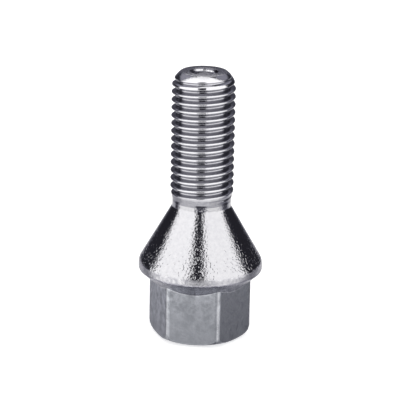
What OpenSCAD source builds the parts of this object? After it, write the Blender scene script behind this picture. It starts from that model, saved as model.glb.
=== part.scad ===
// Wheel bolt with a 60 degree cone seat, forged in one piece from steel wire,
// with a rolled metric thread. It stands on its head, with the thread upwards.
// The origin is the centre of the head's flat end.

/* [Thread] */
// Nominal diameter of the thread
thread_d = 12; // [10:0.5:14]
// Rise of the thread in one turn
pitch = 1.5; // [1:0.25:2]
// How far the crests stay under the nominal diameter
crest_allowance = 0.1; // [0:0.02:0.2]
// Depth over which the edges of a crest are rounded off
crest_round = 0.12; // [0.06:0.02:0.16]
// Turns over which the thread fades out towards the neck
runout_turns = 1.2; // [0.5:0.1:3]
// Direction, from +X, in which the groove begins above the neck
thread_start = 160; // [0:1:359]

/* [Shank] */
// Length from the small end of the cone seat to the tip
shank_len = 25.7; // [20:0.1:60]
// Length of the plain neck above the cone seat
neck_len = 1.4; // [0.6:0.1:6]
// Radius of the fillet between the cone seat and the neck
neck_fillet = 1; // [0.2:0.1:1.5]

/* [Tip] */
// Diameter of the tip's end face
tip_d = 8.5; // [7:0.1:9]
// Radius of the rounding from the crests to the end face
tip_round = 3.9; // [3:0.1:8]
// Diameter of the forged hollow in the end face
hollow_d = 5.2; // [5:0.1:6.5]
// Diameter of the hollow's floor
hollow_floor_d = 4.4; // [3:0.1:4.8]
// Depth of the hollow
hollow_depth = 0.7; // [0.2:0.1:2]
// Radius of the hollow's edge and of the corner at its floor
hollow_round = 0.3; // [0.1:0.05:0.4]

/* [Cone seat and collar] */
// Angle between opposite sides of the cone seat
seat_angle = 60; // [50:1:70]
// Diameter of the collar
collar_d = 23.4; // [21:0.1:26]
// Length of the collar's side between the cone seat and the flare
collar_len = 1.6; // [1:0.1:5]
// Radius of the collar's edge to the cone seat
collar_top_round = 2.4; // [0.5:0.1:3]
// Radius of the collar's edge to the flare
collar_low_round = 0.6; // [0.2:0.1:1]
// Angle of the flare under the collar to the bolt's axis
flare_angle = 49; // [35:1:60]

/* [Hexagon] */
// Width across the flats
across_flats = 17; // [16:0.1:19]
// Height of a flat at its middle, from the head's end to the flare
flat_len = 10.5; // [6:0.1:16]
// Diameter to which the corners of the hexagon are filled
corner_d = 19.3; // [18.6:0.1:19.6]
// Diameter of the flat end of the head
end_d = 13.8; // [10:0.1:16]
// Slope of the chamfer around the flat end
end_chamfer = 20; // [10:1:30]
// Radius between that chamfer and the corners
end_round = 1.6; // [0.5:0.1:3]

/* [Hidden] */
$fn = 96;

// Radii
crest_r = (thread_d - crest_allowance)/2;
collar_r = collar_d/2;
corner_r = corner_d/2;
tip_r = tip_d/2;
end_r = end_d/2;

// Metric thread section: height of the sharp triangle, and the rounded root
sharp_h = pitch*sqrt(3)/2;
flank = 30;
root_round = sharp_h/6;
root_centre_r = thread_d/2 - sharp_h*7/8 + root_round/sin(flank);
root_r = root_centre_r - root_round;
// The blank was rolled at the pitch diameter, which the neck keeps
neck_r = thread_d/2 - sharp_h*3/8;

// Heights along the axis
flare_z = flat_len;
collar_low_z = flare_z + (collar_r - across_flats/2)/tan(flare_angle);
collar_top_z = collar_low_z + collar_len;
cone_top_z = collar_top_z + (collar_r - neck_r)/tan(seat_angle/2);
tip_z = cone_top_z + shank_len;
tip_round_z = tip_z - sqrt(pow(tip_round, 2) - pow(tip_round - crest_r + tip_r, 2));
corner_z = (corner_r - end_r)*tan(end_chamfer);

// Steps of a groove in one turn, and of the arcs in the outline
turn_steps = 30;
arc_steps = 6;
root_steps = 3;
// How far a cutting shape stands clear of the surface that it cuts
clear = 0.04;
// How far inside the flats the flare's section starts
flare_start = 1;

// Points on an arc about [x, y], from angle a to angle b
function arc(x, y, r, a, b, n = arc_steps) =
  [for (i = [0:n]) let (t = a + (b - a)*i/n) [x + r*cos(t), y + r*sin(t)]];

// Points that round the corner p with radius r, between an edge that comes in
// along direction a and an edge that leaves along direction b
function rounded(p, r, a, b) =
  let (side = sign(sin(b - a)), t = r*abs(tan((b - a)/2)))
  let (c = [p[0] - t*cos(a) - side*r*sin(a), p[1] - t*sin(a) + side*r*cos(a)])
  arc(c[0], c[1], r, a - side*90, b - side*90);

// Half section of the head's end: flat, chamfer, and rounding up to the corners
module end_section() {
  polygon(concat(
    [[0, 0], [end_r, 0]],
    rounded([corner_r, corner_z], end_round, end_chamfer, 90),
    [[corner_r, collar_low_z], [0, collar_low_z]]));
}

// Half section of everything above the hexagon: flare, collar, cone, neck and thread blank
module shank_section() {
  inner_z = flare_z - flare_start/tan(flare_angle);
  fade_z = cone_top_z + neck_len;
  polygon(concat(
    [[0, inner_z], [across_flats/2 - flare_start, inner_z]],
    rounded([collar_r, collar_low_z], collar_low_round, 90 - flare_angle, 90),
    rounded([collar_r, collar_top_z], collar_top_round, 90, 90 + seat_angle/2),
    rounded([neck_r, cone_top_z], neck_fillet, 90 + seat_angle/2, 90),
    [[neck_r, fade_z], [crest_r, fade_z + pitch*runout_turns]],
    arc(crest_r - tip_round, tip_round_z, tip_round, 0, asin((tip_z - tip_round_z)/tip_round)),
    [[0, tip_z]]));
}

// Half section of the forged hollow in the tip's end face: floor, wall and rounded edge
module hollow_section() {
  slope = atan2(hollow_depth, (hollow_d - hollow_floor_d)/2);
  edge = rounded([hollow_d/2, tip_z], hollow_round, slope, 0);
  polygon(concat(
    [[0, tip_z - hollow_depth]],
    rounded([hollow_floor_d/2, tip_z - hollow_depth], hollow_round, 0, slope),
    edge,
    [[edge[arc_steps][0], tip_z + clear], [0, tip_z + clear]]));
}

// Half width of a groove at radius r, between its straight flanks
function groove_w(r) = pitch*7/16 - (thread_d/2 - r)*tan(flank);

// Upper edge of a groove's section: where the flank ends, and nearly halfway to the next turn
groove_edge = [
  [crest_r - crest_round, groove_w(crest_r - crest_round)],
  [crest_r + clear, pitch*0.49]];

// Corners of a groove's section at turn angle a and height z, moved outwards by fade
function groove_corners(a, z, fade) =
  let (low = [for (i = [1, 0]) [groove_edge[i][0], -groove_edge[i][1]]])
  let (root = arc(root_centre_r, 0, root_round, 270 - flank, 90 + flank, root_steps))
  [for (p = concat(low, root, groove_edge))
    [(p[0] + fade)*cos(a), (p[0] + fade)*sin(a), z + p[1]]];

// Helical groove between the crests, fading out towards the neck
module groove() {
  start_z = cone_top_z + neck_len;
  steps = ceil((tip_z + pitch/2 - start_z)/pitch*turn_steps);
  depth = crest_r - root_r + clear;
  corners = len(groove_corners(0, 0, 0));
  points = [for (i = [0:steps])
    let (turn = i/turn_steps)
    each groove_corners(thread_start + 360*turn, start_z + pitch*turn,
      depth*max(0, 1 - turn/runout_turns))];
  sides = [for (i = [0:steps - 1], j = [0:corners - 1])
    let (a = i*corners + j, b = i*corners + (j + 1)%corners)
    each [[a, a + corners, b], [b, a + corners, b + corners]]];
  first_end = [for (j = [0:corners - 1]) j];
  last_end = [for (j = [corners - 1:-1:0]) steps*corners + j];
  polyhedron(points = points, faces = concat([first_end], sides, [last_end]), convexity = 20);
}

module wheel_bolt() {
  color("silver")
  difference() {
    union() {
      intersection() {
        cylinder(h = collar_low_z, r = across_flats/2/cos(30), $fn = 6);
        rotate_extrude() end_section();
      }
      rotate_extrude() shank_section();
    }
    groove();
    rotate_extrude() hollow_section();
  }
}

wheel_bolt();
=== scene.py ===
"""The looks of a wheel bolt: one forged, thread-rolled and zinc plated piece of steel on a pale floor."""

import logging
import math
from dataclasses import dataclass
from enum import Enum
from typing import Iterable, Sequence, Union

import bmesh
import bpy
from mathutils import Matrix, Vector


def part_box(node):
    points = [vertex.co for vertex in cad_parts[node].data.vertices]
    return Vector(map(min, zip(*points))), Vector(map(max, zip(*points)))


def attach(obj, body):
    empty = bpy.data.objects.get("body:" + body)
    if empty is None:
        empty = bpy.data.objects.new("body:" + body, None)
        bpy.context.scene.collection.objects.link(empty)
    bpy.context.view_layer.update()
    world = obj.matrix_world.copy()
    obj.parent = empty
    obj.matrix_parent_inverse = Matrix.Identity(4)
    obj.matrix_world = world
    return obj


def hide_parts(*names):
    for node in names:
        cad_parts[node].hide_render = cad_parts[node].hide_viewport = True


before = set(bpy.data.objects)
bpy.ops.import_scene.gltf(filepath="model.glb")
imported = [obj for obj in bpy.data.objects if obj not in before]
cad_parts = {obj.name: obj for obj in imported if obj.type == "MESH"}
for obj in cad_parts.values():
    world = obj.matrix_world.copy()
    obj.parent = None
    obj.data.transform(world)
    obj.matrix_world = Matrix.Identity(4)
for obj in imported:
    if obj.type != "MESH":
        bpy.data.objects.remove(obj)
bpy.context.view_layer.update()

log = logging.getLogger("wheel_bolt")
# A millimetre in the frame's metres
MM = 0.001
# The CAD node that the visual model stands for
NODE = "wheel_bolt"

Number = Union[int, float]
# What a node's input takes: a number, or one that the tree works out
Value = Union["Field", Number]
Pair = tuple[float, float]
# A point of an outline: its distance from the axis and its height
Point = Pair

# Numbers of a Mix node's two colour inputs and its colour output, which share their names with others
FIRST, SECOND, MIXED = 6, 7, 2


# Small helpers for node trees and objects


def linear(colour: str) -> tuple[float, float, float, float]:
    """Turns an sRGB hex colour into the linear values that the shaders use.

    Args:
        colour: six hex digits after a hash sign.

    Returns:
        Linear red, green, blue and an alpha of 1.
    """
    parts = [int(colour[i:i + 2], 16) / 255 for i in (1, 3, 5)]
    red, green, blue = [c / 12.92 if c <= 0.04045 else ((c + 0.055) / 1.055) ** 2.4 for c in parts]
    return red, green, blue, 1.0


def add_node(tree: bpy.types.NodeTree, kind: str, settings: dict | None = None,
             inputs: dict | Sequence | None = None) -> bpy.types.Node:
    """Adds one node with its settings, and gives each input a value or a link.

    Args:
        tree: the material, world or geometry tree that gets the node.
        kind: the node's type, such as ShaderNodeMath.
        settings: properties of the node by name.
        inputs: values, sockets or Fields, by the input's name or number, or in order.

    Returns:
        The new node.
    """
    node = tree.nodes.new(kind)
    for name, value in (settings or {}).items():
        setattr(node, name, value)
    pairs = inputs.items() if isinstance(inputs, dict) else enumerate(inputs or ())
    for key, value in pairs:
        source = value.socket if isinstance(value, Field) else value
        if isinstance(source, bpy.types.NodeSocket):
            tree.links.new(source, node.inputs[key])
        else:
            node.inputs[key].default_value = source
    return node


@dataclass(frozen=True)
class Field:
    """A number that a node tree works out at each point, joined by Python's operators.

    Args:
        tree: the tree that the number belongs to.
        socket: the output that carries it.
    """

    tree: bpy.types.NodeTree
    socket: bpy.types.NodeSocket

    def apply(self, operation: str, *others: Value) -> "Field":
        """Joins this number and others by one operation of a Math node."""
        node = add_node(self.tree, "ShaderNodeMath", {"operation": operation}, [self, *others])
        return Field(self.tree, node.outputs[0])

    def __add__(self, other: Value) -> "Field":
        """The sum."""
        return self.apply("ADD", other)

    def __sub__(self, other: Value) -> "Field":
        """The difference."""
        return self.apply("SUBTRACT", other)

    def __mul__(self, other: Value) -> "Field":
        """The product."""
        return self.apply("MULTIPLY", other)

    def __truediv__(self, other: Value) -> "Field":
        """The quotient."""
        return self.apply("DIVIDE", other)

    def between(self, low: Value, high: Value) -> "Field":
        """This number, kept from low to high."""
        return self.apply("MAXIMUM", low).apply("MINIMUM", high)

    def share(self, low: Value, high: Value, soft: bool = False) -> "Field":
        """How far this number is from low, as 0, to high, as 1.

        Args:
            low: where the share is 0, and stays so below.
            high: where the share is 1, and stays so above.
            soft: whether it starts and ends softly.

        Returns:
            The share, from 0 to 1.
        """
        settings = {"interpolation_type": "SMOOTHSTEP" if soft else "LINEAR"}
        node = add_node(self.tree, "ShaderNodeMapRange", settings, [self, low, high, 0.0, 1.0])
        return Field(self.tree, node.outputs[0])

    def window(self, low: Number, high: Number, edge: Number) -> "Field":
        """Whether this number lies from low to high.

        Args:
            low: middle of the lower soft edge.
            high: middle of the upper soft edge.
            edge: width of the soft edges.

        Returns:
            1 inside and 0 outside.
        """
        rise = self.share(low - edge / 2, low + edge / 2, soft=True)
        fall = self.share(high - edge / 2, high + edge / 2, soft=True)
        return rise - rise * fall


def empty_tree(owner: Union[bpy.types.Material, bpy.types.World]) -> bpy.types.NodeTree:
    """Turns on a material's or a world's nodes, and takes out those that it starts with.

    Args:
        owner: the material or the world.

    Returns:
        Its empty tree.
    """
    owner.use_nodes = True
    owner.node_tree.nodes.clear()
    return owner.node_tree


def put_in_scene(name: str, data: bpy.types.ID) -> bpy.types.Object:
    """Puts a new object in the scene.

    Args:
        name: the object's name.
        data: its mesh or its camera.

    Returns:
        The object.
    """
    thing = bpy.data.objects.new(name, data)
    bpy.context.scene.collection.objects.link(thing)
    return thing


# Outlines, in millimetres


def arc(centre: Point, radius: float, start: float, end: float, steps: int) -> list[Point]:
    """Points on an arc.

    Args:
        centre: the arc's centre.
        radius: its radius.
        start: direction of its first point, in degrees.
        end: direction of its last point, in degrees.
        steps: how many chords it has.

    Returns:
        One point more than it has chords.
    """
    turns = [math.radians(start + (end - start) * i / steps) for i in range(steps + 1)]
    return [(centre[0] + radius * math.cos(t), centre[1] + radius * math.sin(t)) for t in turns]


def rounded(corner: Point, radius: float, way_in: float, way_out: float, steps: int) -> list[Point]:
    """Points that round a corner of an outline.

    Args:
        corner: where the two straight edges would meet.
        radius: the rounding's radius.
        way_in: direction of the edge that comes in, in degrees.
        way_out: direction of the edge that leaves, in degrees.
        steps: how many chords the rounding has.

    Returns:
        The points, from the one edge to the other.
    """
    side = math.copysign(1, math.sin(math.radians(way_out - way_in)))
    reach = radius * abs(math.tan(math.radians(way_out - way_in) / 2))
    way = math.radians(way_in)
    x = corner[0] - reach * math.cos(way) - side * radius * math.sin(way)
    y = corner[1] - reach * math.sin(way) + side * radius * math.cos(way)
    return arc((x, y), radius, way_in - side * 90, way_out - side * 90, steps)


def along(start: Point, end: Point, shares: Iterable[float]) -> list[Point]:
    """Points on a straight edge, at these shares of its length, where the mesh gets rows."""
    return [(start[0] + (end[0] - start[0]) * s, start[1] + (end[1] - start[1]) * s) for s in shares]


def within(points: Sequence[Point], radius: float, count: int) -> list[Point]:
    """Takes the part of an outline that lies inside a radius, in equal steps of its length.

    Args:
        points: an outline whose radius never falls.
        radius: where it is cut off.
        count: how many steps it gets.

    Returns:
        One point more than it has steps.
    """
    kept = [points[0]]
    for a, b in zip(points, points[1:]):
        if b[0] > radius or math.isclose(b[0], radius):
            share = (radius - a[0]) / (b[0] - a[0]) if b[0] > a[0] else 0.0
            kept.append((radius, a[1] + (b[1] - a[1]) * share))
            break
        kept.append(b)
    lengths = [math.dist(a, b) for a, b in zip(kept, kept[1:])]
    result = []
    for i in range(count + 1):
        left = sum(lengths) * i / count
        piece = 0
        while piece < len(lengths) - 1 and left > lengths[piece]:
            left -= lengths[piece]
            piece += 1
        result += along(kept[piece], kept[piece + 1], [left / lengths[piece]])
    return result


# Sizes of the bolt, in millimetres and degrees

# Share of the neck's length at which the thread's mesh starts
FOOT_SHARE = 0.7
# How far under the tip's end face the thread's mesh ends
RIM_DEPTH = 0.12
# Angle between a flank of the thread and a plane across the axis, in radians
FLANK = math.radians(30)


@dataclass(frozen=True)
class BoltSizes:
    """The driving sizes, which are those of the part's source.

    Args:
        height: height over everything, which the frame gives.
        across_flats: width of the hexagon across its flats.
        flat_len: height of a flat at its middle, from the head's end to the flare.
        corner_d: diameter to which the hexagon's corners are filled.
        end_d: diameter of the head's flat end.
        end_chamfer: slope of the chamfer around it.
        end_round: radius between that chamfer and the corners.
        flare_angle: angle of the flare to the axis.
        collar_d: diameter of the collar.
        collar_len: length of its side.
        collar_top_round: radius of its edge to the cone seat.
        collar_low_round: radius of its edge to the flare.
        seat_angle: angle between opposite sides of the cone seat.
        neck_len: length of the plain neck.
        neck_fillet: radius of the fillet between the cone seat and the neck.
        thread_d: nominal diameter of the thread.
        pitch: rise of the thread in one turn.
        crest_allowance: how far the crests' diameter stays under the nominal one.
        runout_turns: turns over which the thread fades out towards the neck.
        thread_start: direction, from +X, in which the groove begins.
        tip_d: diameter of the tip's end face.
        tip_round: radius of the rounding from the crests to it.
        hollow_d: diameter of the hollow in it.
        hollow_floor_d: diameter of the hollow's floor.
        hollow_depth: depth of the hollow.
        hollow_round: radius of the hollow's edge and of the corner at its floor.
    """

    height: float
    across_flats: float = 17.0
    flat_len: float = 10.5
    corner_d: float = 19.3
    end_d: float = 13.8
    end_chamfer: float = 20.0
    end_round: float = 1.6
    flare_angle: float = 49.0
    collar_d: float = 23.4
    collar_len: float = 1.6
    collar_top_round: float = 2.4
    collar_low_round: float = 0.6
    seat_angle: float = 60.0
    neck_len: float = 1.4
    neck_fillet: float = 1.0
    thread_d: float = 12.0
    pitch: float = 1.5
    crest_allowance: float = 0.1
    runout_turns: float = 1.2
    thread_start: float = 160.0
    tip_d: float = 8.5
    tip_round: float = 3.9
    hollow_d: float = 5.2
    hollow_floor_d: float = 4.4
    hollow_depth: float = 0.7
    hollow_round: float = 0.3

    @property
    def sharp_height(self) -> float:
        """Height of the thread's sharp triangle."""
        return self.pitch * math.sqrt(3) / 2

    @property
    def crest_r(self) -> float:
        """Radius of the crests."""
        return (self.thread_d - self.crest_allowance) / 2

    @property
    def neck_r(self) -> float:
        """Radius of the plain neck, which is the blank's before the thread was rolled."""
        return self.thread_d / 2 - self.sharp_height * 3 / 8

    @property
    def root_round(self) -> float:
        """Radius of the rounded root."""
        return self.sharp_height / 6

    @property
    def root_r(self) -> float:
        """Radius of the bottom of the thread's roots."""
        return self.thread_d / 2 - self.sharp_height * 7 / 8 + self.root_round

    @property
    def collar_low_z(self) -> float:
        """Height at which the flare meets the collar."""
        reach = (self.collar_d - self.across_flats) / 2
        return self.flat_len + reach / math.tan(math.radians(self.flare_angle))

    @property
    def collar_top_z(self) -> float:
        """Height at which the collar meets the cone seat."""
        return self.collar_low_z + self.collar_len

    @property
    def cone_top_z(self) -> float:
        """Height at which the cone seat meets the neck."""
        reach = self.collar_d / 2 - self.neck_r
        return self.collar_top_z + reach / math.tan(math.radians(self.seat_angle / 2))

    @property
    def foot_z(self) -> float:
        """Height at which the thread's mesh starts, on the plain neck."""
        return self.cone_top_z + self.neck_len * FOOT_SHARE

    @property
    def tip_round_z(self) -> float:
        """Height at which the crests start to round over to the tip."""
        inward = self.tip_round - self.crest_r + self.tip_d / 2
        return self.height - math.sqrt(self.tip_round ** 2 - inward ** 2)

    @property
    def rim_z(self) -> float:
        """Height at which the thread's mesh ends, just under the tip's rim."""
        return self.height - RIM_DEPTH


# Meshes

# Steps around the axis, the same in all surfaces, so that their seams close
COLUMNS = 204
# Points that lie closer together are one point, in millimetres
MERGE_MM = 0.002
# Shorter edges are taken out, in millimetres
SHORTEST_MM = 0.001


def shell(outlines: Sequence[Sequence[Point]]) -> bpy.types.Mesh:
    """Makes a surface from the outlines in each direction around the axis.

    Args:
        outlines: one outline for each direction, all with the same number of points.

    Returns:
        A mesh in metres, closed around the axis and open at its two ends.
    """
    rows = len(outlines[0])
    vertices = []
    for column, outline in enumerate(outlines):
        turn = 2 * math.pi * column / len(outlines)
        vertices += [(r * math.cos(turn) * MM, r * math.sin(turn) * MM, z * MM) for r, z in outline]
    faces = []
    for column in range(len(outlines)):
        here = column * rows
        there = (column + 1) % len(outlines) * rows
        faces += [(here + i, there + i, there + i + 1, here + i + 1) for i in range(rows - 1)]
    mesh = bpy.data.meshes.new("shell")
    mesh.from_pydata(vertices, [], faces)
    return mesh


def join(meshes: Sequence[bpy.types.Mesh], name: str) -> bpy.types.Mesh:
    """Joins surfaces into one closed mesh, where each keeps its own material.

    Args:
        meshes: the surfaces, each with one material.
        name: name of the new mesh.

    Returns:
        The mesh, smooth, with its seams and poles closed and its faces outwards.
    """
    joined = bmesh.new()
    for number, mesh in enumerate(meshes):
        done = len(joined.faces)
        joined.from_mesh(mesh)
        joined.faces.ensure_lookup_table()
        for face in joined.faces[done:]:
            face.material_index = number
            face.smooth = True
    bmesh.ops.remove_doubles(joined, verts=joined.verts, dist=MERGE_MM * MM)
    bmesh.ops.dissolve_degenerate(joined, edges=joined.edges, dist=SHORTEST_MM * MM)
    bmesh.ops.recalc_face_normals(joined, faces=joined.faces)
    open_edges = sum(1 for edge in joined.edges if not edge.is_manifold)
    log.info("%s: %d faces, %d open edges", name, len(joined.faces), open_edges)
    result = bpy.data.meshes.new(name)
    joined.to_mesh(result)
    joined.free()
    for mesh in meshes:
        result.materials.append(mesh.materials[0])
    return result


# The bolt's forms


@dataclass(frozen=True)
class Surface:
    """A surface of the bolt, given by its outline in each direction around the axis.

    Args:
        sizes: the bolt's sizes.
    """

    sizes: BoltSizes

    def outline(self, turn: float) -> list[Point]:
        """The outline in a direction around the axis, in degrees from +X."""
        raise NotImplementedError

    def build(self, finish: bpy.types.Material) -> bpy.types.Mesh:
        """Builds the surface and dresses it.

        Args:
            finish: its material.

        Returns:
            A mesh in metres, whose seams and poles are still to be closed.
        """
        mesh = shell([self.outline(360 * i / COLUMNS) for i in range(COLUMNS)])
        mesh.materials.append(finish)
        return mesh


@dataclass(frozen=True)
class HexHead(Surface):
    """The hexagon that a wheel wrench turns, with filled corners and a chamfered end.

    Args:
        edge: radius of the soft edges that forging leaves.
        low_row: height of the row that keeps a flat straight above its lower soft edge.
        high_row: depth of the row that keeps it straight below its upper corner.
    """

    edge: float = 0.25
    low_row: float = 0.15
    high_row: float = 0.35

    def side_r(self, turn: float) -> float:
        """Radius of the hexagon's side in a direction around the axis, in degrees from +X."""
        off_middle = math.radians(turn % 60 - 30)
        return min(self.sizes.across_flats / 2 / math.cos(off_middle), self.sizes.corner_d / 2)

    def end_edge(self) -> list[Point]:
        """Rounds the head's end.

        Returns:
            Outline from the flat end over the chamfer and up to the corners.
        """
        s = self.sizes
        corner_r = s.corner_d / 2
        rise = (corner_r - s.end_d / 2) * math.tan(math.radians(s.end_chamfer))
        return [(s.end_d / 2, 0.0), *rounded((corner_r, rise), s.end_round, s.end_chamfer, 90, steps=16)]

    def top(self, turn: float) -> Point:
        """Finds where the side meets the flare.

        Args:
            turn: direction around the axis, in degrees from +X.

        Returns:
            The point there.
        """
        s = self.sizes
        reach = self.side_r(turn) - s.across_flats / 2
        return self.side_r(turn), s.flat_len + reach / math.tan(math.radians(s.flare_angle))

    def outline(self, turn: float) -> list[Point]:
        """Draws the hexagon and its end.

        Args:
            turn: direction around the axis, in degrees from +X.

        Returns:
            Outline from the middle of the head's end up to the flare.
        """
        s = self.sizes
        side_r = self.side_r(turn)
        chamfer = within(self.end_edge(), side_r, count=10)
        low = chamfer[-1]
        slope = math.degrees(math.atan2(low[1] - chamfer[-2][1], low[0] - chamfer[-2][0]))
        reach = self.edge * math.tan(math.radians(90 - slope) / 2)
        foot = along(chamfer[-3], low, (0.0, 0.5))
        high = self.top(turn)
        way_out = 90 - s.flare_angle
        return [
            (0.0, 0.0), *along((0.0, 0.0), (s.end_d / 2, 0.0), (0.3, 0.6, 0.9)),
            *rounded((s.end_d / 2, 0.0), self.edge, 0, s.end_chamfer, steps=2),
            *chamfer[1:-3], *foot,
            *rounded(low, self.edge, slope, 90, steps=4),
            (side_r, low[1] + reach + self.low_row),
            *along(low, high, (0.3, 0.6)),
            (side_r, high[1] - self.high_row),
            *rounded(high, self.edge, 90, way_out, steps=4),
        ]


@dataclass(frozen=True)
class Flare(Surface):
    """The slope that widens from the hexagon to the collar.

    Args:
        head: the hexagon that it grows from.
    """

    head: HexHead

    def outline(self, turn: float) -> list[Point]:
        """Draws the flare.

        Args:
            turn: direction around the axis, in degrees from +X.

        Returns:
            Outline from the hexagon to the collar's lower edge.
        """
        s = self.sizes
        start = self.head.outline(turn)[-1]
        corner = (s.collar_d / 2, s.collar_low_z)
        collar = rounded(corner, s.collar_low_round, 90 - s.flare_angle, 90, steps=6)
        return [start, *along(start, collar[0], (0.12, 0.5, 0.88)), *collar]


@dataclass(frozen=True)
class Collar(Surface):
    """The collar's side, from the flare to the cone seat.

    Args:
        steps: chords of the rounding above the side.
        side_steps: how many of them look like the side. The others look like the seat.
    """

    steps: int = 12
    side_steps: int = 4

    def top_edge(self) -> list[Point]:
        """Rounds the collar's upper edge.

        Returns:
            Outline from the collar's side to the cone seat.
        """
        s = self.sizes
        corner = (s.collar_d / 2, s.collar_top_z)
        return rounded(corner, s.collar_top_round, 90, 90 + s.seat_angle / 2, self.steps)

    def outline(self, turn: float) -> list[Point]:
        """Draws the collar's side.

        Args:
            turn: direction around the axis, in degrees from +X, which makes no difference here.

        Returns:
            Outline from the collar's lower edge into the rounding above.
        """
        s = self.sizes
        low_reach = s.collar_low_round * math.tan(math.radians(s.flare_angle) / 2)
        low = (s.collar_d / 2, s.collar_low_z + low_reach)
        edge = self.top_edge()[:self.side_steps + 1]
        return [low, *along(low, edge[0], (0.1, 0.5, 0.9)), *edge]


@dataclass(frozen=True)
class ConeSeat(Surface):
    """The cone that centres the wheel's hole, and the plain neck above it.

    Args:
        collar: the collar that it grows from.
    """

    collar: Collar

    def outline(self, turn: float) -> list[Point]:
        """Draws the cone seat and the neck.

        Args:
            turn: direction around the axis, in degrees from +X, which makes no difference here.

        Returns:
            Outline from the collar's rounding to the neck.
        """
        s = self.sizes
        shoulder = self.collar.top_edge()[self.collar.side_steps:]
        corner = (s.neck_r, s.cone_top_z)
        fillet = rounded(corner, s.neck_fillet, 90 + s.seat_angle / 2, 90, steps=8)
        return [
            *shoulder, *along(shoulder[-1], fillet[0], (0.04, 0.2, 0.4, 0.6, 0.8, 0.96)), *fillet,
            *along(fillet[-1], (s.neck_r, s.foot_z), (0.2, 1.0)),
        ]


@dataclass(frozen=True)
class Tip(Surface):
    """The tip's rim and end face, with the hollow that forging leaves in it.

    Args:
        rim_round: radius of the rim's edge.
    """

    rim_round: float = 0.25

    def outline(self, turn: float) -> list[Point]:
        """Draws the tip.

        Args:
            turn: direction around the axis, in degrees from +X, which makes no difference here.

        Returns:
            Outline from the end of the thread's mesh to the middle of the hollow's floor.
        """
        s = self.sizes
        centre_r = s.crest_r - s.tip_round
        start = math.asin((s.rim_z - s.tip_round_z) / s.tip_round)
        first = (centre_r + s.tip_round * math.cos(start), s.rim_z)
        corner = (s.tip_d / 2, s.height)
        slope = math.degrees(math.atan2(corner[1] - first[1], corner[0] - first[0]))
        rim = rounded(corner, self.rim_round, slope, 180, steps=4)
        fall = math.degrees(math.atan2(s.hollow_depth, (s.hollow_d - s.hollow_floor_d) / 2))
        edge = rounded((s.hollow_d / 2, s.height), s.hollow_round, 180, 180 + fall, steps=6)
        floor_z = s.height - s.hollow_depth
        foot = rounded((s.hollow_floor_d / 2, floor_z), s.hollow_round, 180 + fall, 180, steps=6)
        return [
            first, *rim, *along(rim[-1], edge[0], (0.08, 0.5, 0.92)), *edge,
            *along(edge[-1], foot[0], (0.1, 0.5, 0.9)), *foot,
            *along(foot[-1], (0.0, floor_z), (0.08, 0.35, 0.7, 1.0)),
        ]


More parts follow.
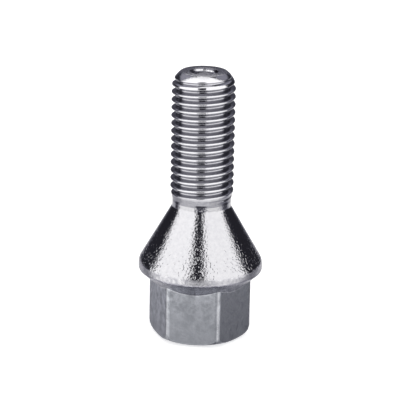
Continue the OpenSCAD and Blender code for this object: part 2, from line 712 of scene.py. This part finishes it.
@dataclass(frozen=True)
class RolledThread:
    """The helical thread, from the neck to the tip, made by geometry nodes.

    Args:
        sizes: the bolt's sizes.
        rows: rows of faces in one turn, from crest to crest.
        crest_blend: depth over which a flank rounds over to its crest.
        tip_blend: depth over which a crest rounds over to the tip.
        root_rows: share of half a turn's rows that lies in the root.
        flank_rows: share of them that lies in the root and on the flank.
        flank_end: distance from the middle of a groove to the flank's last row, in turns.
    """

    sizes: BoltSizes
    rows: int = 20
    crest_blend: float = 0.3
    tip_blend: float = 0.06
    root_rows: float = 0.3
    flank_rows: float = 0.5
    flank_end: float = 0.3

    def inputs(self) -> dict[str, Number]:
        """Names the numbers that the tree gets.

        Returns:
            Counts, and sizes in millimetres, turns and radians, by name.
        """
        s = self.sizes
        first_turn = math.floor((s.foot_z - s.cone_top_z - s.neck_len) / s.pitch) - 2
        last_turn = math.ceil((s.height - s.cone_top_z - s.neck_len) / s.pitch) + 2
        return {
            "Columns": COLUMNS,
            "Rows in a Turn": self.rows,
            "First Turn": first_turn,
            "Turns": last_turn - first_turn,
            "Pitch": s.pitch,
            "Nominal Radius": s.thread_d / 2,
            "Crest Radius": s.crest_r,
            "Neck Radius": s.neck_r,
            "Root Round": s.root_round,
            "Crest Blend": self.crest_blend,
            "Tip Blend": self.tip_blend,
            "Fade Turns": s.runout_turns,
            "Start Height": s.cone_top_z + s.neck_len,
            "Start Angle": math.radians(s.thread_start),
            "Foot Height": s.foot_z,
            "Rim Height": s.rim_z,
            "Tip Round": s.tip_round,
            "Tip Round Height": s.tip_round_z,
        }

    def tree(self) -> tuple[bpy.types.NodeTree, dict[str, str]]:
        """Builds the tree that wraps a grid of faces around the axis and along the helix.

        Returns:
            The tree, and the identifier of each of its inputs by name.
        """
        tree = bpy.data.node_groups.new("rolled thread", "GeometryNodeTree")
        tree.interface.new_socket("Geometry", in_out="OUTPUT", socket_type="NodeSocketGeometry")
        names = {}
        for name, value in self.inputs().items():
            kind = "NodeSocketInt" if isinstance(value, int) else "NodeSocketFloat"
            names[name] = tree.interface.new_socket(name, in_out="INPUT", socket_type=kind).identifier
        finish = tree.interface.new_socket("Finish", in_out="INPUT", socket_type="NodeSocketMaterial")
        names["Finish"] = finish.identifier
        group = add_node(tree, "NodeGroupInput")
        size = {name: Field(tree, group.outputs[name]) for name in self.inputs()}
        grid = add_node(tree, "GeometryNodeMeshGrid", {}, {
            "Size X": 1.0,
            "Size Y": size["Turns"],
            "Vertices X": size["Columns"] + 1,
            "Vertices Y": size["Turns"] * size["Rows in a Turn"] + 1,
        })
        position = add_node(tree, "GeometryNodeInputPosition").outputs[0]
        place = add_node(tree, "ShaderNodeSeparateXYZ", {}, [position])
        around = Field(tree, place.outputs["X"]) + 0.5
        turn = Field(tree, place.outputs["Y"]) + size["Turns"] / 2 + size["First Turn"]
        angle = around * (2 * math.pi)
        helix = (angle - size["Start Angle"]) / (2 * math.pi)
        height = self.height(size, turn, helix)
        radius = self.radius(size, height, helix)
        point = add_node(tree, "ShaderNodeCombineXYZ", {}, [
            radius * angle.apply("COSINE") * MM, radius * angle.apply("SINE") * MM, height * MM])
        moved = add_node(tree, "GeometryNodeSetPosition", {}, {
            "Geometry": grid.outputs["Mesh"], "Position": point.outputs[0]})
        merged = add_node(tree, "GeometryNodeMergeByDistance", {}, {
            "Geometry": moved.outputs[0], "Distance": MERGE_MM * MM})
        real = add_node(tree, "GeometryNodeRealizeInstances", {}, [merged.outputs[0]])
        dressed = add_node(tree, "GeometryNodeSetMaterial", {}, {
            "Geometry": real.outputs[0], "Material": group.outputs["Finish"]})
        add_node(tree, "NodeGroupOutput", {}, [dressed.outputs[0]])
        return tree, names

    def height(self, size: dict[str, Field], turn: Field, helix: Field) -> Field:
        """Height of a row, which rises with the helix and lies closest at roots and crests.

        Args:
            size: the tree's inputs.
            turn: the row's count of turns, whole in the middle of a groove.
            helix: how much of a turn the helix has risen in this direction.

        Returns:
            The height, kept between the thread's foot and its rim.
        """
        middle = turn.apply("ROUND")
        off = turn - middle
        half = off.apply("ABSOLUTE") * 2
        root_w = size["Root Round"] / size["Pitch"] * math.cos(FLANK)
        in_root = half.share(0.0, self.root_rows) * root_w
        on_flank = half.share(self.root_rows, self.flank_rows) * (root_w * -1 + self.flank_end)
        on_crest = half.share(self.flank_rows, 1.0) * (0.5 - self.flank_end)
        row = middle + (in_root + on_flank + on_crest) * off.apply("SIGN")
        height = size["Start Height"] + size["Pitch"] * (row + helix)
        return height.between(size["Foot Height"], size["Rim Height"])

    def radius(self, size: dict[str, Field], height: Field, helix: Field) -> Field:
        """Radius of the thread at a height, with its groove, its crest, its fade and the tip.

        Args:
            size: the tree's inputs.
            height: the height.
            helix: how much of a turn the helix has risen in this direction.

        Returns:
            The radius.
        """
        above_start = (height - size["Start Height"]) / size["Pitch"]
        groove = (above_start - helix).apply("ROUND")
        off = (above_start - helix - groove).apply("ABSOLUTE") * size["Pitch"]
        # The metric section: a groove is 7/8 of the pitch wide at the nominal radius, and its flanks
        # would meet 7/8 of the sharp height further in. The arc of its root touches both flanks, so
        # its centre lies two of its radii over that point
        flank = size["Nominal Radius"] - (size["Pitch"] * (7 / 16) - off) / math.tan(FLANK)
        sharp = size["Pitch"] * (math.sqrt(3) / 2)
        root_round = size["Root Round"]
        root_centre = size["Nominal Radius"] - sharp * (7 / 8) + root_round * 2
        root_off = off.apply("MINIMUM", root_round * math.cos(FLANK))
        root = root_centre - (root_round * root_round - root_off * root_off).apply("SQRT")
        depth = size["Crest Radius"] - root_centre + root_round
        faded = (groove + helix).share(size["Fade Turns"], 0.0) * depth
        blank_share = above_start.share(0.0, size["Fade Turns"])
        blank = size["Neck Radius"] + (size["Crest Radius"] - size["Neck Radius"]) * blank_share
        thread = (flank.apply("MAXIMUM", root) + faded).apply("SMOOTH_MIN", blank, size["Crest Blend"])
        over = (height - size["Tip Round Height"]).apply("MAXIMUM", 0.0)
        tip_round = size["Tip Round"]
        inward = tip_round - (tip_round * tip_round - over * over).apply("SQRT")
        return thread.apply("SMOOTH_MIN", size["Crest Radius"] - inward, size["Tip Blend"])

    def build(self, finish: bpy.types.Material) -> bpy.types.Mesh:
        """Runs the tree and takes its result as a plain mesh.

        Args:
            finish: the material that the tree sets.

        Returns:
            The thread's surface, open at the neck and at the rim.
        """
        tree, names = self.tree()
        maker = put_in_scene("thread_maker", bpy.data.meshes.new("thread_maker"))
        modifier = maker.modifiers.new("rolled thread", "NODES")
        modifier.node_group = tree
        for name, value in {**self.inputs(), "Finish": finish}.items():
            modifier[names[name]] = value
        graph = bpy.context.evaluated_depsgraph_get()
        mesh = bpy.data.meshes.new_from_object(maker.evaluated_get(graph))
        bpy.data.objects.remove(maker)
        mesh.materials.clear()
        mesh.materials.append(finish)
        return mesh


# Finishes: one bath of bright zinc, on surfaces that were made in different ways


@dataclass(frozen=True)
class Spot:
    """A point of the bolt's surface, as a material's tree sees it, in millimetres.

    Args:
        tree: the material's tree.
        place: the point's Object coordinates.
        sizes: the bolt's sizes.
        x: its distance from the axis towards +X.
        y: its distance from the axis towards +Y.
        z: its height over the head's end.
        radius: its distance from the axis.
    """

    tree: bpy.types.NodeTree
    place: bpy.types.NodeSocket
    sizes: BoltSizes
    x: Field
    y: Field
    z: Field
    radius: Field

    @classmethod
    def of(cls, tree: bpy.types.NodeTree, sizes: BoltSizes) -> "Spot":
        """Adds the nodes that find the point.

        Args:
            tree: the material's tree.
            sizes: the bolt's sizes.

        Returns:
            The point.
        """
        place = add_node(tree, "ShaderNodeTexCoord").outputs["Object"]
        parts = add_node(tree, "ShaderNodeSeparateXYZ", {}, [place])
        x, y, z = [Field(tree, parts.outputs[i]) / MM for i in range(3)]
        return cls(tree, place, sizes, x, y, z, (x * x + y * y).apply("SQRT"))

    def noise(self, size_mm: float, detail: float = 2.0, harshness: float = 0.5) -> Field:
        """Adds a noise.

        Args:
            size_mm: size of its largest features.
            detail: how many times finer features are added.
            harshness: how strong the finer features are.

        Returns:
            The noise, mostly from 0.3 to 0.7.
        """
        node = add_node(self.tree, "ShaderNodeTexNoise", {}, {
            "Vector": self.place, "Scale": 1 / (size_mm * MM), "Detail": detail, "Roughness": harshness})
        return Field(self.tree, node.outputs[0])


@dataclass(frozen=True)
class ZincPlate:
    """Bright zinc plate on steel.

    The plate is a few micrometres thick, so it shows how the steel under it was made: it mirrors
    the room, with the grain of the forging or rolling dies in the mirror image, and it is a little
    duller in cloudy patches, where the bath plated slower.

    Args:
        name: what was plated.
        colour: the plate's colour where it is clean.
        stain_and_shade_colour: its colour in the duller patches, and the colour that painted shade
            darkens towards.
        stain_mm: size of the patches.
        rough: roughness of the plate.
        rough_spread: how much the roughness changes from patch to patch.
        grain_mm: size of the small dents, drawn as coarse as they show in a picture of 400 pixels.
        grain_depth_mm: depth of the small dents.
        stain_share: how far the patches go towards that darker colour.
        highlight_colour: the colour that painted highlights mix towards.
    """

    name: str
    colour: str
    stain_and_shade_colour: str
    stain_mm: float
    rough: float
    rough_spread: float
    grain_mm: float
    grain_depth_mm: float
    stain_share: float = 1.0
    highlight_colour: str = "#C8C9CD"

    def painted_highlight(self, spot: Spot) -> Field | None:
        """How much painted highlight a point takes, or None where none is painted."""
        return None

    def painted_shade(self, spot: Spot) -> Field | None:
        """How much painted shade darkens a point towards the darker colour, apart from the patches, or
        None where none is painted.
        """
        return None

    def dents(self, spot: Spot) -> Field:
        """Height of the grain's small dents, as a share of their depth."""
        return spot.noise(self.grain_mm)

    def build(self, sizes: BoltSizes) -> bpy.types.Material:
        """Makes the material, whose patterns lie on Object coordinates.

        Args:
            sizes: the bolt's sizes.

        Returns:
            The material.
        """
        material = bpy.data.materials.new(self.name)
        tree = empty_tree(material)
        spot = Spot.of(tree, sizes)
        patch = spot.noise(self.stain_mm, detail=4.0, harshness=0.6).share(low=0.35, high=0.65)
        rough = patch * self.rough_spread + (self.rough - self.rough_spread / 2)
        stain_and_shade = patch * self.stain_share
        # Painted shade, where a finish has it, darkens towards the same darker colour as the random
        # patches
        shade_share = self.painted_shade(spot)
        if shade_share:
            stain_and_shade = stain_and_shade + shade_share - stain_and_shade * shade_share
        colour = add_node(tree, "ShaderNodeMix", {"data_type": "RGBA"}, {
            0: stain_and_shade, FIRST: linear(self.colour), SECOND: linear(self.stain_and_shade_colour)})
        # Painted highlight, where a finish has it, mixes towards the highlight colour
        painted_highlight = self.painted_highlight(spot)
        if painted_highlight:
            colour = add_node(tree, "ShaderNodeMix", {"data_type": "RGBA"}, {
                0: painted_highlight, FIRST: colour.outputs[MIXED], SECOND: linear(self.highlight_colour)})
        bump = add_node(tree, "ShaderNodeBump", {}, {
            "Strength": 1.0, "Distance": self.grain_depth_mm * MM, "Height": self.dents(spot)})
        steel = add_node(tree, "ShaderNodeBsdfPrincipled", {}, {
            "Base Color": colour.outputs[MIXED], "Metallic": 1.0,
            "Roughness": rough, "Normal": bump.outputs[0]})
        add_node(tree, "ShaderNodeOutputMaterial", {}, [steel.outputs[0]])
        return material


@dataclass(frozen=True)
class HexagonPlate(ZincPlate):
    """Zinc plate on the hexagon, with painted highlights on its edges and painted shade towards the
    head's end.

    Args:
        end_shade_share: how much painted shade darkens the plate at the head's end, where the bolt stands
            on the floor.
        corner_mm: width of the painted highlight line on a corner.
        corner_edge_mm: width of that line's soft edges.
        line_mm: width of the painted highlight line under the flare.
        line_full_mm: how much of it, from the flare down, is at its brightest.
        line_share: how bright it is next to the corners.
        break_mm: size of the breaks in both lines, which are patches where no highlight is painted.
        breaks: values of the noise at which a line is broken and at which it is whole.
    """

    end_shade_share: float = 0.8
    corner_mm: float = 0.24
    corner_edge_mm: float = 0.1
    line_mm: float = 0.22
    line_full_mm: float = 0.088
    line_share: float = 0.7
    break_mm: float = 0.4
    breaks: Pair = (0.38, 0.6)

    def painted_shade(self, spot: Spot) -> Field:
        """How much painted shade darkens a point towards the head's end, where the bolt stands on the
        floor.
        """
        # Painted shade: the plate darkens towards the head's end, where the bolt stands on the floor
        return spot.z.share(spot.sizes.flat_len, 0.0) * self.end_shade_share

    def painted_highlight(self, spot: Spot) -> Field:
        """Paints highlights on the corners, and on the line where the flats end in the flare.

        Args:
            spot: a point of the hexagon.

        Returns:
            How much painted highlight the point takes.
        """
        s = spot.sizes
        # Painted highlights: bright lines on the corners and under the flare, broken in patches
        off_corner = spot.y.apply("ARCTAN2", spot.x).apply("PINGPONG", math.pi / 6) * (s.corner_d / 2)
        outer = (self.corner_mm + self.corner_edge_mm) / 2
        corner = off_corner.share(outer, outer - self.corner_edge_mm)
        slope = math.tan(math.radians(s.flare_angle))
        below = (spot.radius - s.across_flats / 2) / slope + s.flat_len - spot.z
        line = below.share(self.line_mm, self.line_full_mm) * self.line_share
        return corner.apply("MAXIMUM", line) * spot.noise(self.break_mm).share(*self.breaks)


@dataclass(frozen=True)
class SeatPlate(ZincPlate):
    """Zinc plate on the cone seat, with sparse pits in the part next to the collar.

    Args:
        pit_mm: size of the pits, drawn coarser than real ones, so that they show as specks.
        pit_depth_mm: their depth.
        pits: values of the noise at which a pit begins and at which it is deepest.
        full_mm: how far above the collar they keep their full depth.
        pitted_mm: how much further they reach.
    """

    pit_mm: float = 0.5
    pit_depth_mm: float = 0.026
    pits: Pair = (0.56, 0.7)
    full_mm: float = 1.0
    pitted_mm: float = 8.0

    def dents(self, spot: Spot) -> Field:
        """Adds the pits to the grain's small dents.

        Args:
            spot: a point of the cone seat.

        Returns:
            The point's height, as a share of the grain's depth.
        """
        low = spot.sizes.collar_top_z + self.full_mm
        pitted = spot.z.share(low + self.pitted_mm, low)
        pits = spot.noise(self.pit_mm, detail=0.0).share(*self.pits, soft=True) * pitted
        return spot.noise(self.grain_mm) - pits * (self.pit_depth_mm / self.grain_depth_mm)


@dataclass(frozen=True)
class ThreadPlate(ZincPlate):
    """Zinc plate on the thread, with painted highlights on the crests and in the roots, and painted shade
    on the flanks from its dark base colour.

    Args:
        crest_mm: how far under the crests the painted highlight starts, and where it is at its brightest.
        root_mm: the same above the bottom of the roots.
        root_share: how bright the roots are next to the crests.
    """

    crest_mm: Pair = (0.25, 0.08)
    root_mm: Pair = (0.2, 0.06)
    root_share: float = 0.4

    def painted_highlight(self, spot: Spot) -> Field:
        """Paints highlights on the crests, also where they round over to the tip, and in the roots.

        Args:
            spot: a point of the thread.

        Returns:
            How much painted highlight the point takes.
        """
        s = spot.sizes
        # Painted highlight on the crests and in the roots; the flanks keep the dark base colour as
        # painted shade
        over = (spot.z - s.tip_round_z).apply("MAXIMUM", 0.0)
        inward = (over * over * -1 + s.tip_round ** 2).apply("SQRT") * -1 + s.tip_round
        crest = (spot.radius + inward).share(*(s.crest_r - depth for depth in self.crest_mm))
        root = spot.radius.share(*(s.root_r + height for height in self.root_mm)) * self.root_share
        return crest.apply("MAXIMUM", root)


@dataclass(frozen=True)
class TipPlate(ZincPlate):
    """Zinc plate on the tip, with painted shade in the hollow, apart from a painted highlight streak
    along its wall.

    Args:
        lip_mm: how far outside the hollow's radius the painted shade starts, and where it is darkest.
        streak_top_mm: how deep in the hollow the painted highlight streak starts.
        streak_low_mm: how deep it ends.
        streak_edge_mm: width of its soft edges.
        lean: how much deeper it lies for each millimetre towards +X.
        crown_mm: how much shearing has drawn the end face down from the hollow to its rim.
    """

    lip_mm: Pair = (0.15, -0.05)
    streak_top_mm: float = 0.3
    streak_low_mm: float = 0.6
    streak_edge_mm: float = 0.12
    lean: float = 0.07
    crown_mm: float = 0.2

    def dents(self, spot: Spot) -> Field:
        """Adds the end face's slight crown to the small dents.

        Args:
            spot: a point of the tip.

        Returns:
            The point's height, as a share of the dents' depth.
        """
        s = spot.sizes
        outward = spot.radius.share(s.hollow_d / 2, s.tip_d / 2)
        return spot.noise(self.grain_mm) - outward * (self.crown_mm / self.grain_depth_mm)

    def painted_shade(self, spot: Spot) -> Field:
        """Paints shade into the hollow, apart from the painted highlight streak.

        Args:
            spot: a point of the tip.

        Returns:
            How much painted shade darkens the point.
        """
        s = spot.sizes
        # Painted shade in the hollow, with a painted highlight streak left out of it along its wall
        inside = spot.radius.share(*(s.hollow_d / 2 + lip for lip in self.lip_mm))
        depth = (spot.z + spot.x * self.lean) * -1 + s.height
        streak = depth.window(self.streak_top_mm, self.streak_low_mm, self.streak_edge_mm)
        return inside - inside * streak


class Finish(Enum):
    """The finishes of the bolt's surfaces, each with what it gives the eye."""

    # Scale in the die leaves it satin: soft, broad reflections with cloudy patches; painted highlights on
    # the edges and painted shade towards the head's end
    HEXAGON = HexagonPlate(
        "zinc plate on forged hexagon", colour="#C8CBD2", stain_and_shade_colour="#90939A", highlight_colour="#BCBDC2",
        stain_mm=1.3, rough=0.36, rough_spread=0.14, grain_mm=0.3, grain_depth_mm=0.02)
    # Drawn out in the die's corner and faintly mottled; its darker colour is painted shade, since it
    # faces the ground
    FLARE = ZincPlate(
        "zinc plate on forged flare", colour="#B2B2BB", stain_and_shade_colour="#84848F",
        stain_mm=0.8, rough=0.28, rough_spread=0.08, grain_mm=0.3, grain_depth_mm=0.04)
    # Squeezed out between the dies: pale and grainy, without a clear mirror image
    COLLAR = ZincPlate(
        "zinc plate on forged collar", colour="#D2D2D6", stain_and_shade_colour="#A6A6AE",
        stain_mm=0.7, rough=0.32, rough_spread=0.1, grain_mm=0.3, grain_depth_mm=0.055)
    # Pressed against a polished die: a clear mirror, whose edges between light and dark are speckled
    SEAT = SeatPlate(
        "zinc plate on forged seat", colour="#C2C2C6", stain_and_shade_colour="#BCBCC1",
        stain_mm=0.6, rough=0.07, rough_spread=0.04, grain_mm=0.35, grain_depth_mm=0.045)
    # Rolled smooth: thin white lines of painted highlight along crests and roots, and a dark base colour
    # that paints the shade of the flanks, which mirror each other
    THREAD = ThreadPlate(
        "zinc plate on rolled thread", colour="#9D9DA3", stain_and_shade_colour="#8F8F97", highlight_colour="#D2D2D7",
        stain_mm=0.5, rough=0.15, rough_spread=0.06, grain_mm=0.3, grain_depth_mm=0.02)
    # Sheared off and pressed: bright and uneven, with small duller specks, painted shade in the hollow
    # and a painted highlight streak on its wall
    TIP = TipPlate(
        "zinc plate on sheared tip", colour="#E2E2E7", stain_and_shade_colour="#6E6E77", stain_share=0.5,
        stain_mm=0.4, rough=0.18, rough_spread=0.1, grain_mm=0.35, grain_depth_mm=0.05)


# The room


@dataclass(frozen=True)
class Panel:
    """A bright or dim area of the room, as the bolt sees it.

    Args:
        name: what it is.
        left: direction of its left edge from the camera's side, in degrees to the right.
        right: direction of its right edge.
        low: height of its lower edge over the horizon, in degrees.
        high: height of its upper edge.
        edge: width of its soft edges, in degrees.
        level: how bright it is, where 1 is white.
    """

    name: str
    left: float
    right: float
    low: float
    high: float
    edge: float
    level: float


@dataclass(frozen=True)
class Studio:
    """A plain studio: pale floor, two broad soft boxes in front and one behind, and the camera.

    Args:
        target_z: height of the point that the camera looks at, in millimetres.
        distance: how far away the camera stands, in millimetres.
        azimuth: direction of the camera around the axis, from -Y towards +X, in degrees.
        elevation: height of the camera over the horizon, in degrees.
        roll: how far the camera is turned, in degrees.
        scale: pixels for a millimetre at the target.
        target_px: where the target lies in the picture, in pixels.
        picture: width of the picture, in pixels.
        sensor: width of the sensor, in millimetres.
        nearest: the nearest distance that the camera shows, in metres.
        floor_level: how much of the floor's white doesn't depend on the light.
        floor_half: half the floor's width, in metres.
        floor_colour: colour of its board.
        dim_level: how bright the room's walls are between the panels.
        under_level: how much brighter it is straight under the bolt.
        under: heights over the horizon between which that brightness sets in, in degrees.
        dim_colour: colour of the room's dim walls.
        lit_colour: colour of its soft boxes and pale ground.
    """

    target_z: float = 25.0
    distance: float = 350.0
    azimuth: float = 8.8
    elevation: float = 17.8
    roll: float = 1.15
    scale: float = 5.328
    target_px: Pair = (201.46, 207.46)
    picture: float = 400.0
    sensor: float = 36.0
    nearest: float = 0.01
    floor_level: float = 0.55
    floor_half: float = 4.0
    floor_colour: str = "#F2F2F2"
    dim_level: float = 0.035
    under_level: float = 0.2
    under: Pair = (-50.0, -70.0)
    dim_colour: str = "#E6E5FF"
    lit_colour: str = "#FFFEFC"

    def camera(self) -> None:
        """Places the camera as it stood for the photograph."""
        turn, rise = math.radians(self.azimuth), math.radians(self.elevation)
        back = Vector((math.sin(turn) * math.cos(rise), -math.cos(turn) * math.cos(rise), math.sin(rise)))
        data = bpy.data.cameras.new("camera")
        data.sensor_width = self.sensor
        data.lens = self.scale * self.distance * self.sensor / self.picture
        data.shift_x = (self.picture / 2 - self.target_px[0]) / self.picture
        data.shift_y = (self.target_px[1] - self.picture / 2) / self.picture
        data.clip_start = self.nearest
        camera = put_in_scene("camera", data)
        looks = (-back).to_track_quat("-Z", "Y").to_matrix().to_4x4()
        place = Matrix.Translation(Vector((0, 0, self.target_z * MM)) + back * self.distance * MM)
        camera.matrix_world = place @ looks @ Matrix.Rotation(math.radians(self.roll), 4, "Z")
        bpy.context.scene.camera = camera

    def panels(self) -> list[Panel]:
        """The areas that the bolt sees, from the ground up, where a later one covers an earlier one.

        Returns:
            The panels. An edge past 180 degrees, or past 90 in height, lies outside the room.
        """
        # name, left, right, low, high, edge, level
        return [
            Panel("pale ground", -181, 181, -60, -9, 10, 0.85),
            Panel("bright ground under the left box", -92, -24, -60, -9, 12, 1.4),
            Panel("bright ground under the right box", 24, 74, -60, -9, 14, 1.2),
            Panel("bright ground at the foot", -40, 40, -60, -26, 8, 1.45),
            Panel("grey ground on the left", -150, -100, -28, -9, 16, 0.6),
            Panel("dim ground on the left", -124, -102, -28, -9, 12, 0.06),
            Panel("dim ground on the right", 90, 128, -34, -9, 20, 0.08),
            Panel("dim ground in front", -23, 18, -25, -9, 9, 0.1),
            Panel("left side wall", -156, -104, 26, 62, 8, 0.4),
            Panel("right side wall", 100, 156, 26, 62, 8, 0.35),
            Panel("left soft box", -99, -21, -12, 62, 4, 1.65),
            Panel("right soft box", 9, 92, -12, 62, 3, 1.58),
            Panel("top soft box", -99, 92, 54, 80, 8, 1.6),
            Panel("ceiling", -181, 181, 76, 91, 8, 1.3),
            Panel("horizon behind, right half", 154, 181, -9, 28, 6, 0.15),
            Panel("horizon behind, left half", -181, -154, -9, 28, 6, 0.15),
            Panel("rear soft box, right half", 156, 181, 31, 62, 8, 1.2),
            Panel("rear soft box, left half", -181, -156, 31, 62, 8, 1.2),
        ]

    def world(self) -> None:
        """Makes the room, read by direction, so that it stays where it is in every view."""
        world = bpy.data.worlds.new("room")
        tree = empty_tree(world)
        way = add_node(tree, "ShaderNodeTexCoord").outputs["Generated"]
        turned = add_node(tree, "ShaderNodeVectorRotate", {"rotation_type": "Z_AXIS"}, {
            "Vector": way, "Angle": math.radians(-self.azimuth)})
        parts = add_node(tree, "ShaderNodeSeparateXYZ", {}, [turned.outputs[0]])
        to_right, away, up = [Field(tree, parts.outputs[i]) for i in range(3)]
        degrees = 180 / math.pi
        azimuth = to_right.apply("ARCTAN2", away * -1) * degrees
        elevation = up.apply("ARCSINE") * degrees
        level = elevation.share(*self.under, soft=True) * self.under_level + self.dim_level
        for panel in self.panels():
            inside = azimuth.window(panel.left, panel.right, panel.edge)
            inside = inside * elevation.window(panel.low, panel.high, panel.edge)
            level = level + (level * -1 + panel.level) * inside
            level.socket.node.label = panel.name
        colour = add_node(tree, "ShaderNodeMix", {"data_type": "RGBA"}, {
            0: level.share(0.0, 1.0), FIRST: linear(self.dim_colour), SECOND: linear(self.lit_colour)})
        light = add_node(tree, "ShaderNodeBackground", {}, {
            "Color": colour.outputs[MIXED], "Strength": level})
        add_node(tree, "ShaderNodeOutputWorld", {}, [light.outputs[0]])
        bpy.context.scene.world = world

    def floor_material(self) -> bpy.types.Material:
        """Makes the matt white board, which shows white and keeps the bolt's soft shadow.

        Returns:
            The material.
        """
        material = bpy.data.materials.new("matt white board")
        tree = empty_tree(material)
        ray = add_node(tree, "ShaderNodeLightPath")
        seen = Field(tree, ray.outputs["Is Camera Ray"]) + Field(tree, ray.outputs["Is Glossy Ray"])
        seen = (seen + Field(tree, ray.outputs["Is Transmission Ray"])).apply("MINIMUM", 1.0)
        glow = add_node(tree, "ShaderNodeEmission", {}, {"Strength": seen * self.floor_level})
        matt = add_node(tree, "ShaderNodeBsdfDiffuse", {}, {"Color": linear(self.floor_colour)})
        both = add_node(tree, "ShaderNodeAddShader", {}, [glow.outputs[0], matt.outputs[0]])
        add_node(tree, "ShaderNodeOutputMaterial", {}, [both.outputs[0]])
        return material

    def floor(self) -> None:
        """Lays the floor, which the steel doesn't mirror: it mirrors the room's own pale ground."""
        half = self.floor_half
        corners = [(-half, -half, 0), (half, -half, 0), (half, half, 0), (-half, half, 0)]
        mesh = bpy.data.meshes.new("floor")
        mesh.from_pydata(corners, [], [(0, 1, 2, 3)])
        mesh.materials.append(self.floor_material())
        floor = put_in_scene("floor", mesh)
        floor.visible_glossy = False


# The whole bolt


@dataclass(frozen=True)
class WheelBolt:
    """The whole bolt: it puts the surfaces of its forms together in one closed mesh.

    Args:
        sizes: the bolt's sizes.
    """

    sizes: BoltSizes

    def build(self) -> bpy.types.Object:
        """Builds and dresses the bolt, and puts it in the place of its CAD node.

        Returns:
            The finished piece.
        """
        head = HexHead(self.sizes)
        collar = Collar(self.sizes)
        forms = {
            Finish.HEXAGON: head,
            Finish.FLARE: Flare(self.sizes, head),
            Finish.COLLAR: collar,
            Finish.SEAT: ConeSeat(self.sizes, collar),
            Finish.TIP: Tip(self.sizes),
            Finish.THREAD: RolledThread(self.sizes),
        }
        meshes = [form.build(finish.value.build(self.sizes)) for finish, form in forms.items()]
        piece = put_in_scene("plated_bolt", join(meshes, "plated_bolt"))
        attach(piece, "root")
        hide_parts(NODE)
        return piece


def main() -> None:
    """Builds the studio and the bolt."""
    logging.basicConfig(level=logging.INFO, format="%(message)s")
    scene = bpy.context.scene
    scene.view_settings.view_transform = "Standard"
    studio = Studio()
    studio.camera()
    studio.world()
    studio.floor()
    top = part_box(NODE)[1].z / MM
    piece = WheelBolt(BoltSizes(height=top)).build()
    log.info("%s: %d triangles", piece.name, sum(len(p.vertices) - 2 for p in piece.data.polygons))


if __name__ == "__main__":
    main()
